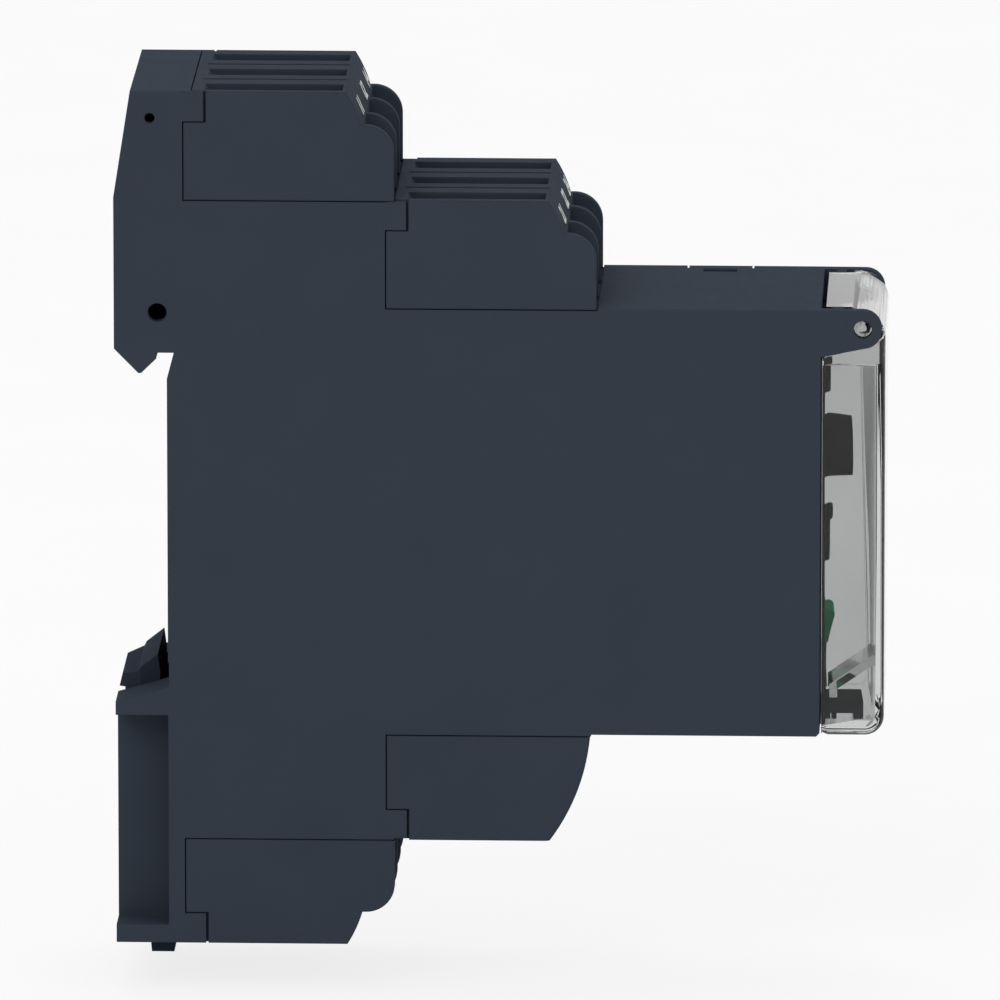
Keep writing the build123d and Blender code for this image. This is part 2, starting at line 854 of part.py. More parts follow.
# Clear hinged cover: shell with rounded corners, hinge lugs between the ears, moulded pins
px, pz = pivot
ear_inner = width / 2 - ear_thickness
lug_outer = ear_inner - cover_ear_gap
lug_inner = lug_outer - cover_wall


def cover_profile(inset, top, rear, y_high):
    """Side outline of the cover, inset from its outer face."""
    front = cover_front_x - inset
    low = -nose_z + inset
    top_r = cover_top_radius - inset
    foot_r = cover_foot_radius - inset
    turn_top = top_r * (1 - 0.5 ** 0.5)
    turn_foot = foot_r * (1 - 0.5 ** 0.5)
    with BuildSketch(side_plane(y_high)) as outline:
        with BuildLine():
            Polyline((front - foot_r, low), (rear, low), (rear, top), (front - top_r, top))
            ThreePointArc((front - top_r, top), (front - turn_top, top - turn_top), (front, top - top_r))
            Line((front, top - top_r), (front, low + foot_r))
            ThreePointArc((front, low + foot_r), (front - turn_foot, low + turn_foot), (front - foot_r, low))
        make_face()
    return outline.sketch


with BuildPart() as hinged_cover:
    extrude(cover_profile(0, cover_top_z, cover_rear_x, far_y), amount=width)
    front_edges = hinged_cover.edges().filter_by(
        lambda e: e.center().X > cover_front_x - cover_foot_radius and abs(abs(e.center().Y) - far_y) < seam
    )
    fillet(front_edges, radius=cover_edge_radius)
    # Room for the ears at both sides
    for y_low, y_high in ((near_y, -lug_outer), (lug_outer, far_y)):
        with BuildSketch(side_plane(y_high)) as ear_room:
            with BuildLine():
                gap = cover_ear_gap
                tip = CenterArc(pivot, ear_radius + gap, ear_arc_start, ear_room_arc)
                Polyline(
                    tip @ 1,
                    (cover_front_x + wall, pz + gap),
                    (cover_front_x + wall, nose_z + wall),
                    (nose_front - wall, nose_z + wall),
                    (nose_front - wall, ear_root_z - ear_root_sink - gap),
                    tip @ 0,
                )
            make_face()
        extrude(ear_room.sketch, amount=y_high - y_low, mode=Mode.SUBTRACT)
    # Hollow, narrower between the hinge lugs
    inner_top = cover_top_z - cover_wall
    hollow_high = extrude(
        cover_profile(cover_wall, inner_top, nose_front - wall, lug_inner),
        amount=2 * lug_inner,
        mode=Mode.SUBTRACT,
    )
    with BuildSketch(side_plane(far_y - cover_wall)) as low_room:
        add(cover_profile(cover_wall, inner_top, nose_front - wall, far_y - cover_wall))
        with Locations((nose_front, ear_root_z + nose_z - cover_wall)):
            Rectangle(width, 2 * nose_z, mode=Mode.SUBTRACT)
    extrude(low_room.sketch, amount=width - 2 * cover_wall, mode=Mode.SUBTRACT)
    # The top is cut back behind the pins, and beside the stops
    brick(
        (cover_rear_x - wall, cover_top_rear_x),
        (-ear_inner, ear_inner),
        (ear_root_z - 2 * cover_wall, cover_top_z),
        mode=Mode.SUBTRACT,
    )
    for hand in (-1, 1):
        brick(
            (cover_rear_x - wall, px - hinge_lug_reach),
            (hand * (lug_inner - cover_ear_gap), hand * lug_outer),
            (pz + hinge_lug_rise, cover_top_z),
            mode=Mode.SUBTRACT,
        )
    for hand in (-1, 1):
        pin_root = Plane(origin=(px, hand * (lug_outer - cover_wall / 2), pz), z_dir=(0, hand, 0))
        pin_length = cover_wall / 2 + width / 2 - lug_outer - pivot_gap
        with BuildSketch(pin_root) as pin_disc:
            Circle(pivot_radius)
        extrude(pin_disc.sketch, amount=pin_length)
        pin_ends = hinged_cover.edges().filter_by(GeomType.CIRCLE).filter_by(
            lambda e: abs(e.center().Y - hand * (width / 2 - pivot_gap)) < seam
        )
        chamfer(pin_ends, length=pivot_dome)
finish(hinged_cover, "hinged_cover")

# Front panel: fascia with holes for the controls, recess for the cover's swing, bracket at its foot
panel_front = nose_front + panel_proud
panel_rear = panel_front - panel_thickness
panel_near = inner_near + panel_gap
panel_far = inner_far - panel_gap
panel_low = nose_floor + panel_gap
dials = (("upper_dial", upper_dial_z), ("lower_dial", lower_dial_z))
with BuildPart() as front_panel:
    brick((panel_rear, panel_front), (panel_near, panel_far), (panel_low, panel_recess_z))
    brick(
        (panel_rear - panel_thickness / 2, panel_recess_x),
        (panel_near, panel_far),
        (panel_recess_z - wall, nose_ceiling - panel_gap),
    )
    for _, z in dials:
        rod(0, z, dial_radius + dial_gap, panel_front - dial_sunk - dial_gap, panel_front, mode=Mode.SUBTRACT)
        rod(0, z, stem_radius + stem_gap, panel_rear, panel_front, mode=Mode.SUBTRACT)
    rod(0, knob_z, stem_radius + stem_gap, panel_rear, panel_front, mode=Mode.SUBTRACT)
    brick(
        (panel_rear, panel_front),
        (-button_half_width - button_gap, button_half_width + button_gap),
        (button_low_z - button_gap, button_top_z + button_gap),
        mode=Mode.SUBTRACT,
    )
    for hand in (-1, 1):
        rod(
            hand * lens_spread, lens_z, lens_radius + lens_gap,
            panel_rear - panel_thickness, panel_front, mode=Mode.SUBTRACT,
        )
    bracket_y = tuple(depth(y) for y in bracket_places)
    brick((panel_front, bracket_front_x), bracket_y, (bracket_top_z - bracket_bar, bracket_top_z))
    brick((panel_front, bracket_root_x), bracket_y, (bracket_low_z, bracket_top_z))
    brick(bracket_rear_leg, bracket_y, (bracket_low_z, bracket_top_z))
    brick((bracket_front_x - bracket_front_leg, bracket_front_x), bracket_y, (bracket_low_z, bracket_top_z))
finish(front_panel, "front_panel")

# Two flat dials, sunk in the panel, each with a pointer lip and a screwdriver slot
for label, z in dials:
    dial_base = panel_front - dial_sunk
    dial_face = panel_front + dial_proud
    nub_length, nub_height, nub_width = dial_nub
    with BuildPart() as dial:
        rod(0, z, dial_radius, dial_base, dial_face)
        rod(0, z, stem_radius, stem_tip_x, dial_base)
        brick(
            (dial_face, dial_face + nub_height),
            (-nub_width / 2, nub_width / 2),
            (z + dial_radius - nub_length - seam, z + dial_radius - seam),
        )
        brick(
            (dial_face - dial_proud, dial_face),
            (-driver_slot / 2, driver_slot / 2),
            (z - dial_radius / 2, z + dial_radius / 4),
            mode=Mode.SUBTRACT,
        )
    finish(dial, label)

# Selector knob: tapered, with a pointer slot across its face and grip flats at the sides
knob_base = panel_front + knob_lift
knob_tip = knob_base + knob_height
with BuildPart() as selector_knob:
    with BuildSketch(Plane(origin=(0, 0, knob_z), x_dir=(1, 0, 0), z_dir=(0, -1, 0))):
        with BuildLine():
            Polyline(
                (stem_tip_x, 0),
                (stem_tip_x, stem_radius),
                (knob_base, stem_radius),
                (knob_base, knob_radius),
                (knob_tip, knob_radius - knob_taper),
                (knob_tip, 0),
                close=True,
            )
        make_face()
    revolve(axis=Axis((0, 0, knob_z), (1, 0, 0)))
    slot_y, slot_x = knob_slot
    brick(
        (knob_tip - slot_x, knob_tip),
        (-slot_y / 2, slot_y / 2),
        (knob_z - knob_radius, knob_z + knob_radius / 3),
        mode=Mode.SUBTRACT,
    )
    for hand in (-1, 1):
        grip = [
            (knob_tip, knob_z + knob_radius / 3),
            (knob_base + knob_height / 4, knob_z - knob_radius / 3),
            (knob_base + knob_height / 4, knob_z - knob_radius),
            (knob_tip, knob_z - knob_radius),
        ]
        grip_y = sorted((hand * (knob_radius - 2 * knob_taper), hand * (knob_radius + knob_taper)))
        slab(grip, *grip_y, mode=Mode.SUBTRACT)
finish(selector_knob, "selector_knob")

# Test button: hollowed finger face with a lip at the top, sliding in the panel's window
with BuildPart() as test_button:
    with BuildSketch(side_plane(button_half_width)) as face:
        with BuildLine():
            crest = (panel_front + button_crest[0], button_top_z - button_crest[1])
            middle = (panel_front + button_mid[0], button_top_z - button_mid[1])
            waist = (panel_front + button_waist[0], button_top_z - button_waist[1])
            foot = (panel_front + button_foot_proud, button_low_z)
            Polyline(
                foot,
                (button_rear_x, button_low_z),
                (button_rear_x, button_top_z),
                (panel_front, button_top_z),
                (crest[0] - button_lip_turn[0], crest[1] + button_lip_turn[1]),
                crest,
            )
            Spline(crest, middle, waist, foot)
        make_face()
    extrude(face.sketch, amount=2 * button_half_width)
finish(test_button, "test_button")

# Light pipes from the front board to the panel
for hand, label in ((-1, "status_lens_near"), (1, "status_lens_far")):
    with BuildPart() as lens:
        rod(hand * lens_spread, lens_z, lens_radius, front_board_x + board_thickness, panel_recess_x)
    finish(lens, label)

# Boards
board_low_body = cavity_bottom_z + board_edge_gap
board_high_body = cavity_top_z - board_edge_gap
board_low_nose = nose_floor + board_edge_gap
board_high_nose = nose_ceiling - board_edge_gap
main_board_outline = [
    (back_wall + board_edge_gap, board_low_body),
    (back_wall + board_edge_gap, board_high_body),
    (cavity_step_x - board_edge_gap, board_high_body),
    (cavity_step_x - board_edge_gap, board_high_nose),
    (main_board_front_x, board_high_nose),
    (main_board_front_x, board_low_nose),
    (cavity_step_x - board_edge_gap, board_low_nose),
    (cavity_step_x - board_edge_gap, board_low_body),
]
with BuildPart() as main_board:
    slab(main_board_outline, board_near_y, board_far_y)
finish(main_board, "main_board")

front_board_far_x = front_board_x + board_thickness
with BuildPart() as front_board:
    brick(
        (front_board_x, front_board_far_x),
        (inner_near + board_edge_gap / 4, inner_far - board_edge_gap / 4),
        (board_low_nose, board_high_nose - snap_thickness),
    )
finish(front_board, "front_board")

with BuildPart() as board_connector:
    length_x, height_y, length_z = connector_size
    brick(
        (front_board_x - length_x, front_board_x),
        (board_far_y, board_far_y + height_y),
        (connector_z - length_z / 2, connector_z + length_z / 2),
    )
finish(board_connector, "board_connector")

# Control bodies on the front board, each with a hole for its stem
for label, z in (
    ("upper_potentiometer", upper_dial_z),
    ("selector_switch", knob_z),
    ("lower_potentiometer", lower_dial_z),
):
    with BuildPart() as control:
        brick(
            (front_board_far_x, front_board_far_x + pot_height),
            (-pot_size / 2, pot_size / 2),
            (z - pot_size / 2, z + pot_size / 2),
        )
        rod(
            0, z, stem_radius + stem_gap,
            stem_tip_x - stem_gap, front_board_far_x + pot_height, mode=Mode.SUBTRACT,
        )
    finish(control, label)

with BuildPart() as test_switch:
    mid_z = (button_top_z + button_low_z) / 2
    brick(
        (front_board_far_x, front_board_far_x + switch_height),
        (-switch_size / 2, switch_size / 2),
        (mid_z - switch_size / 2, mid_z + switch_size / 2),
    )
finish(test_switch, "test_switch")

# Sealed relay, transformer and supply capacitor on the main board
with BuildPart() as output_relay:
    size_x, size_y, size_z = relay_size
    brick(
        (relay_x - size_x / 2, relay_x + size_x / 2),
        (board_far_y, board_far_y + size_y),
        (-size_z / 2, size_z / 2),
    )
    upright = output_relay.edges().filter_by(Axis.Y)
    fillet(upright, radius=edge_round)
finish(output_relay, "output_relay")

core_x, core_y, core_z = core_size
window_half = winding_length / 2
with BuildPart() as transformer_core:
    brick(
        (transformer_x - core_x / 2, transformer_x + core_x / 2),
        (board_far_y, board_far_y + core_y),
        (-core_z / 2, core_z / 2),
    )
    for hand in (-1, 1):
        brick(
            (transformer_x + hand * core_x / 6, transformer_x + hand * core_x / 3),
            (board_far_y, board_far_y + core_y),
            (-window_half, window_half),
            mode=Mode.SUBTRACT,
        )
finish(transformer_core, "transformer_core")

with BuildPart() as transformer_winding:
    clearance = winding_gap
    brick(
        (transformer_x - core_x / 3 + clearance, transformer_x + core_x / 3 - clearance),
        (board_far_y, board_far_y + core_y + 2 * wall),
        (-window_half + clearance, window_half - clearance),
    )
    brick(
        (transformer_x - core_x / 6 - clearance, transformer_x + core_x / 6 + clearance),
        (board_far_y - wall, board_far_y + core_y + clearance),
        (-window_half, window_half),
        mode=Mode.SUBTRACT,
    )
finish(transformer_winding, "transformer_winding")

with BuildPart() as supply_capacitor:
    start_x, axis_z = capacitor_place
    radius = capacitor_diameter / 2
    axis_y = board_far_y + radius + half_seam
    rod(axis_y, axis_z, radius, start_x, start_x + capacitor_length)
    rim = supply_capacitor.edges().filter_by(GeomType.CIRCLE)
    chamfer(rim, length=edge_round)
finish(supply_capacitor, "supply_capacitor")
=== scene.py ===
import math
import bmesh
import bpy
from mathutils import Matrix, Vector


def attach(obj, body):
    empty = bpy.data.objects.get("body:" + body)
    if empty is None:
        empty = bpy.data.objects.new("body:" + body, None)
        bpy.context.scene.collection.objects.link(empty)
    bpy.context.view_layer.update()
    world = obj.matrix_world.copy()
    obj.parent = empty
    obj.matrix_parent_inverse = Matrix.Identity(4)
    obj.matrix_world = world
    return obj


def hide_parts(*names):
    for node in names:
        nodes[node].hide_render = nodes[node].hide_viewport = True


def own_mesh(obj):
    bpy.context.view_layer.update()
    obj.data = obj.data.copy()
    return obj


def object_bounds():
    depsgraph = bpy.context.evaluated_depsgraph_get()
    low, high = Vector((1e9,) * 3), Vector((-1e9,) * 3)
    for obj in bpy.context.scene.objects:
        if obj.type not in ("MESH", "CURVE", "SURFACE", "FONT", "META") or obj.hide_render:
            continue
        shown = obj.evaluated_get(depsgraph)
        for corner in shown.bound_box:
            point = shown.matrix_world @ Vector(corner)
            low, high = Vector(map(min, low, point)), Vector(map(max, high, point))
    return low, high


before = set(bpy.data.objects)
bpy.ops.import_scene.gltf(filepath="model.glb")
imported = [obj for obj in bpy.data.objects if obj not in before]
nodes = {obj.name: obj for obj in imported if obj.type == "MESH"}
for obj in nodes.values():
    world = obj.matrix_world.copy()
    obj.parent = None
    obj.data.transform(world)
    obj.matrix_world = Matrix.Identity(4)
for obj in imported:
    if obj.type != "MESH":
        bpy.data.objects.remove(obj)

cad_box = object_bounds()
MM = 0.001

# Camera of the photograph: where it looks, from which side, how far off and how long its lens is
CAMERA_TARGET = Vector((34.366, -11.25, 2.298)) * MM
CAMERA_YAW = math.radians(2.086)
CAMERA_TILT = math.radians(12.441)
CAMERA_DISTANCE = 1.8178
CAMERA_LENS = 634.45
SENSOR = 36.0
CAMERA_SIGHT = 50.0

# Places and sizes on the part, in millimetres
WIDTH = 22.5
NEAR_Y = -WIDTH / 2
NOSE_Z = 22.5
PANEL_X = 67.9
CLIP_TRAVEL = 2.6

# Terminal blocks: rear seam, outer face and side (1 above, -1 below) of each bay, and their bevels
BAYS = ((1.74, 45.0, 1), (22.58, 33.75, 1), (1.74, 45.0, -1))
BEVEL_START_U, BEVEL_END_U, BEVEL_V, BEVEL_CROWN = 16.8, 18.36, 3.45, 0.14

# Pole numbers on the bevels
POLE_CENTRES = (5.9, 13.7, 20.3)
POLE_DIGITS = (1, 2, 4)
NUMBER_SIZE = 2.6
NUMBER_DOWN = 0.74
NUMBER_WEIGHT = 0.07
INK_THICKNESS = 0.03

# Controls: name, height, radius and scale numbers, and the scales round them
DIALS = (
    ("upper", 14.49, 3.03, ("5", "30", "70", "100")),
    ("selector", 5.895, 3.3, ("1", "2", "3", "4")),
    ("lower", -3.3075, 3.03, ("0", "3", "7", "10")),
)
TICK_STEPS = range(-4, 5)
NUMBER_STEPS = (-4, -2, 2, 4)
TICK_ANGLE = 33.75
TICK_GAP = 0.35
TICK_LENGTH = 0.6
TICK_HALF_WIDTH = 0.09
TICK_LIFTS = (-0.02, 0.03)
SCALE_NUMBER_SIZE = 1.5
SCALE_NUMBER_REACH = 2.0

# Finger rings and pointers of the two dials: sections as x and radius, or x and height above the axis
GRIP_SECTION = (
    (68.0, 2.25), (68.0, 2.95), (68.5, 2.95),
    (68.6, 2.85), (68.6, 2.35), (68.5, 2.25),
)
GRIP_MIDDLE = 2.6
GRIP_KNURL = 0.09
GRIP_STEPS = 72
POINTER_OUTLINE = (
    (68.0, 1.4), (68.75, 1.4), (68.93, 1.7),
    (68.93, 2.8), (68.8, 2.95), (68.0, 2.95),
)
POINTER_DEPTHS = (-0.5, 0.5)

# Clear cover: its rear rim, and the side outline of its latch web
COVER_REAR_X = 67.55
COVER_EDGE_ROUND = 1.2
RIM_CHAMFER = 0.35
RIM_REACH = 0.02
MERGE_DISTANCE = 0.001
SHARP_ANGLE = 25
LATCH_OUTLINE = (
    (73.03, -14.3), (68.5, -17.5), (68.5, -18.9),
    (69.3, -18.9), (69.3, -18.0), (73.03, -15.4),
)
LATCH_DEPTHS = (-8.4, -3.1)

# Looks: edge radii in millimetres, heights of grain in metres
EDGE_RADIUS = 0.16
BLOCK_EDGE_RADIUS = 0.28
EDGE_SAMPLES = 6
GRAIN_DEPTH = 0.00001
LINE_DEPTH = 0.00001
RIPPLE_DEPTH = 0.00002
TRACK_DEPTH = 0.00003
PLASTIC_GLARE = 0.005
COVER_GLARE = (0.45, 0.45, 0.45, 1.0)
COVER_IOR = 1.5
WHITE = (1, 1, 1, 1)

# Floor, world and lamps: each lamp's name, place and size in metres, and power in watts
FLOOR_REACH = 6.0
FLOOR_GLOW = 0.8
WORLD_LIGHT = 0.62
LAMPS = (
    ("key", (-0.5, -1.1, 1.0), 0.8, 6.0),
    ("fill", (1.3, -0.9, 0.5), 0.9, 4.0),
    ("top", (0.0, 0.3, 1.4), 0.8, 4.0),
)
LAMP_AIM = Vector((34.0, 0, 0)) * MM


def linear(*rgb):
    """Colour written in 0 to 255 screen values, as the linear values that shaders take."""
    def channel(value):
        value /= 255
        return value / 12.92 if value <= 0.04045 else ((value + 0.055) / 1.055) ** 2.4
    return (*[channel(v) for v in rgb], 1.0)


def new_material(name):
    """Material with nodes, its tree and its shader."""
    material = bpy.data.materials.new(name)
    material.use_nodes = True
    tree = material.node_tree
    return material, tree, tree.nodes["Principled BSDF"]


def noise(tree, scale, detail=3.0, stretch=(1, 1, 1)):
    """Noise in the object's own space; scale is in cells per metre."""
    place = tree.nodes.new("ShaderNodeTexCoord")
    mapping = tree.nodes.new("ShaderNodeMapping")
    mapping.inputs["Scale"].default_value = stretch
    texture = tree.nodes.new("ShaderNodeTexNoise")
    texture.inputs["Scale"].default_value = scale
    texture.inputs["Detail"].default_value = detail
    tree.links.new(place.outputs["Object"], mapping.inputs["Vector"])
    tree.links.new(mapping.outputs["Vector"], texture.inputs["Vector"])
    return texture.outputs["Fac"]


def ramp(tree, source, low, high, dark, light):
    """Colour ramp from dark to light between two values of a source."""
    node = tree.nodes.new("ShaderNodeValToRGB")
    node.color_ramp.elements[0].position = low
    node.color_ramp.elements[0].color = dark
    node.color_ramp.elements[1].position = high
    node.color_ramp.elements[1].color = light
    tree.links.new(source, node.inputs["Fac"])
    return node.outputs["Color"]


def spread(tree, source, low, high):
    """Source stretched to run from low to high."""
    node = tree.nodes.new("ShaderNodeMapRange")
    node.inputs["From Min"].default_value = 0.3
    node.inputs["From Max"].default_value = 0.7
    node.inputs["To Min"].default_value = low
    node.inputs["To Max"].default_value = high
    tree.links.new(source, node.inputs["Value"])
    return node.outputs["Result"]


def bump(tree, source, strength, distance):
    """Surface normal raised by a source; distance in metres."""
    node = tree.nodes.new("ShaderNodeBump")
    node.inputs["Strength"].default_value = strength
    node.inputs["Distance"].default_value = distance
    tree.links.new(source, node.inputs["Height"])
    return node.outputs["Normal"]


def shade(colour, factor):
    """Colour made lighter or darker by a factor."""
    return (*[min(1.0, c * factor) for c in colour[:3]], 1.0)


def soft_edge(tree, radius):
    """Surface normal rounded over sharp edges, as a mould leaves them; radius in millimetres."""
    node = tree.nodes.new("ShaderNodeBevel")
    node.samples = EDGE_SAMPLES
    node.inputs["Radius"].default_value = radius * MM
    return node.outputs["Normal"]


def moulded(name, colour, roughness=0.6, grain=9000.0, edge=EDGE_RADIUS):
    """Moulded plastic: fine spark-eroded grain, faint cloudiness of tone and gloss, soft edges."""
    material, tree, shader = new_material(name)
    cloud = noise(tree, 120.0, 4.0)
    tone = ramp(tree, cloud, 0.3, 0.7, shade(colour, 0.97), shade(colour, 1.03))
    tree.links.new(tone, shader.inputs["Base Color"])
    gloss = spread(tree, noise(tree, 900.0, 5.0), roughness - 0.05, roughness + 0.06)
    tree.links.new(gloss, shader.inputs["Roughness"])
    grained = bump(tree, noise(tree, grain, 2.0), 0.35, GRAIN_DEPTH)
    if edge:
        tree.links.new(soft_edge(tree, edge), grained.node.inputs["Normal"])
    tree.links.new(grained, shader.inputs["Normal"])
    shader.inputs["Specular IOR Level"].default_value = PLASTIC_GLARE
    return material


def metal(name, colour, roughness=0.3, stretch=(1, 12, 12)):
    """Plated or drawn metal with fine lines and slight stains."""
    material, tree, shader = new_material(name)
    tone = ramp(tree, noise(tree, 300.0, 4.0), 0.3, 0.7, shade(colour, 0.88), shade(colour, 1.08))
    tree.links.new(tone, shader.inputs["Base Color"])
    lines = noise(tree, 1500.0, 3.0, stretch)
    tree.links.new(spread(tree, lines, roughness - 0.08, roughness + 0.1), shader.inputs["Roughness"])
    tree.links.new(bump(tree, lines, 0.2, LINE_DEPTH), shader.inputs["Normal"])
    shader.inputs["Metallic"].default_value = 1.0
    return material


def clear_plastic(name):
    """Clear moulded cover: smooth, with a faint ripple and haze."""
    material, tree, shader = new_material(name)
    haze = spread(tree, noise(tree, 250.0, 3.0), 0.002, 0.012)
    tree.links.new(haze, shader.inputs["Roughness"])
    tint = ramp(tree, noise(tree, 60.0, 2.0), 0.3, 0.7, linear(203, 204, 204), linear(210, 211, 211))
    tree.links.new(tint, shader.inputs["Base Color"])
    ripple = bump(tree, noise(tree, 90.0, 1.0), 0.03, RIPPLE_DEPTH)
    tree.links.new(ripple, shader.inputs["Normal"])
    shader.inputs["Transmission Weight"].default_value = 1.0
    shader.inputs["Specular Tint"].default_value = COVER_GLARE
    shader.inputs["IOR"].default_value = COVER_IOR
    return material


def board_laminate(name):
    """Printed board: green lacquer over a faint weave of tracks."""
    material, tree, shader = new_material(name)
    tracks = noise(tree, 700.0, 1.0, (1, 1, 4))
    tone = ramp(tree, tracks, 0.46, 0.5, linear(24, 82, 48), linear(34, 106, 62))
    tree.links.new(tone, shader.inputs["Base Color"])
    tree.links.new(bump(tree, tracks, 0.2, TRACK_DEPTH), shader.inputs["Normal"])
    shader.inputs["Roughness"].default_value = 0.35
    return material


housing_plastic = moulded("housing_plastic", linear(53, 60, 70))
block_plastic = moulded("block_plastic", linear(53, 60, 70), edge=BLOCK_EDGE_RADIUS)
clip_plastic = moulded("clip_plastic", linear(41, 48, 58))
panel_plastic = moulded("panel_plastic", linear(50, 51, 56), roughness=0.5)
knob_plastic = moulded("knob_plastic", linear(54, 54, 55), roughness=0.5)
button_plastic = moulded("button_plastic", linear(24, 152, 96), roughness=0.4, grain=5000.0)
lens_plastic = moulded("lens_plastic", linear(225, 228, 222), roughness=0.15)
blue_plastic = moulded("blue_plastic", linear(60, 105, 160), roughness=0.35)
relay_plastic = moulded("relay_plastic", linear(205, 198, 178), roughness=0.4)
dark_plastic = moulded("dark_plastic", linear(32, 33, 36), roughness=0.45)
tape = moulded("winding_tape", linear(196, 168, 70), roughness=0.3)
ink = moulded("marking_ink", linear(214, 217, 215), roughness=0.55, edge=0)
screw_steel = metal("screw_steel", linear(190, 190, 184), roughness=0.32)
clamp_steel = metal("clamp_steel", linear(196, 190, 168), roughness=0.3)
contact_metal = metal("contact_metal", linear(206, 200, 178), roughness=0.25)
spring_steel = metal("spring_steel", linear(176, 176, 174), roughness=0.25)
core_steel = metal("core_steel", linear(96, 94, 92), roughness=0.45, stretch=(1, 40, 1))
clear = clear_plastic("clear_cover")
laminate = board_laminate("board_laminate")

# Material of each CAD node, by the longest start of its name
NODE_MATERIALS = {
    "casing": housing_plastic,
    "side_cover": housing_plastic,
    "front_panel": panel_plastic,
    "hinged_cover": clear,
    "rail_clip": clip_plastic,
    "clip_spring": spring_steel,
    "blank_block": block_plastic,
    "terminal_block": block_plastic,
    "terminal_screw": screw_steel,
    "wire_clamp": clamp_steel,
    "contact_bar": contact_metal,
    "upper_dial": knob_plastic,
    "lower_dial": knob_plastic,
    "selector_knob": knob_plastic,
    "test_button": button_plastic,
    "upper_potentiometer": blue_plastic,
    "lower_potentiometer": blue_plastic,
    "selector_switch": blue_plastic,
    "test_switch": dark_plastic,
    "status_lens": lens_plastic,
    "main_board": laminate,
    "front_board": laminate,
    "board_connector": dark_plastic,
    "output_relay": relay_plastic,
    "transformer_core": core_steel,
    "transformer_winding": tape,
    "supply_capacitor": dark_plastic,
}


def dress(mesh, material):
    """Give a mesh one material."""
    mesh.materials.clear()
    mesh.materials.append(material)


for name, node in nodes.items():
    key = max((k for k in NODE_MATERIALS if name.startswith(k)), key=len)
    dress(node.data, NODE_MATERIALS[key])


def bay_point(bay, u, y, v):
    """Point of a terminal bay, u forward of its rear seam, y from the near face, v in from its outer face."""
    rear, outer, side = bay
    return Vector((rear + u, NEAR_Y + y, side * (outer - v))) * MM


def printed(name, words, size, matrix, material, body, weight=0.0):
    """Printed characters, a thin skin of ink on the surface."""
    curve = bpy.data.curves.new(name, "FONT")
    curve.body = words
    curve.size = size * MM
    curve.align_x = "CENTER"
    curve.align_y = "CENTER"
    curve.extrude = INK_THICKNESS * MM
    curve.offset = weight * MM
    curve.materials.append(material)
    piece = bpy.data.objects.new(name, curve)
    bpy.context.collection.objects.link(piece)
    piece.matrix_world = matrix
    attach(piece, body)
    return piece


def basis(origin, across, up):
    """Matrix whose x runs across, y up and z out of the surface."""
    out = across.cross(up)
    return Matrix((
        (across.x, up.x, out.x, origin.x),
        (across.y, up.y, out.y, origin.y),
        (across.z, up.z, out.z, origin.z),
        (0, 0, 0, 1),
    ))


def add_piece(name, mesh, material, body):
    """Object for a mesh, with its material, on a body."""
    dress(mesh, material)
    piece = bpy.data.objects.new(name, mesh)
    bpy.context.collection.objects.link(piece)
    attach(piece, body)
    return piece


def made_mesh(form, name, turn_faces=True):
    """Mesh of a finished form, its faces turned outwards if asked."""
    if turn_faces:
        bmesh.ops.recalc_face_normals(form, faces=form.faces)
    mesh = bpy.data.meshes.new(name)
    form.to_mesh(mesh)
    form.free()
    return mesh


# Clear cover: the solid's form with a square rear rim and evenly smoothed corners
form = bmesh.new()
form.from_mesh(nodes["hinged_cover"].data)
bmesh.ops.remove_doubles(form, verts=form.verts, dist=MERGE_DISTANCE * MM)
corner_y = WIDTH / 2 - COVER_EDGE_ROUND
corner_z = -NOSE_Z + COVER_EDGE_ROUND
inset = COVER_EDGE_ROUND - RIM_CHAMFER
grow = COVER_EDGE_ROUND / inset
for vert in form.verts:
    x, y, z = vert.co / MM
    if x > COVER_REAR_X + RIM_REACH:
        continue
    side = math.copysign(1, y)
    reach_y = abs(y) - corner_y
    reach_z = corner_z - z
    if reach_y > 0 and reach_z > 0 and abs(math.hypot(reach_y, reach_z) - inset) < RIM_REACH:
        y, z = side * (corner_y + reach_y * grow), corner_z - reach_z * grow
    elif abs(reach_y - inset) < RIM_REACH:
        y = side * WIDTH / 2
    elif abs(reach_z - inset) < RIM_REACH:
        z = -NOSE_Z
    vert.co = Vector((x, y, z)) * MM
cover_mesh = made_mesh(form, "clear_cover_shell", turn_faces=False)
cover_mesh.shade_smooth()
cover_mesh.set_sharp_from_angle(angle=math.radians(SHARP_ANGLE))
cover = add_piece("clear_cover_shell", cover_mesh, clear, "cover")
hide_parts("hinged_cover")
even = cover.modifiers.new("even_normals", "WEIGHTED_NORMAL")
even.keep_sharp = True
even.weight = 100

# Clip spring: a copy of the CAD spring with its own mesh, on the housing, in place of the CAD node
spring_mesh = nodes["clip_spring"].data.copy()
spring = add_piece("coil_spring", spring_mesh, spring_steel, "housing")
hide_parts("clip_spring")
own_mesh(spring)


def side_strip(name, outline, y_low, y_high, material, slot, body):
    """Closed side outline in millimetres, filled between two depths."""
    form = bmesh.new()
    rings = [[form.verts.new(Vector((x, y, z)) * MM) for x, z in outline] for y in (y_low, y_high)]
    form.faces.new(rings[0])
    form.faces.new(rings[1][::-1])
    for i in range(len(outline)):
        j = (i + 1) % len(outline)
        form.faces.new((rings[0][j], rings[0][i], rings[1][i], rings[1][j]))
    add_piece(name, made_mesh(form, name), material, body)


# Sloped latch web inside the cover, above the panel's bracket
side_strip("cover_latch_web", LATCH_OUTLINE, *LATCH_DEPTHS, clear, "clear_cover", "cover")


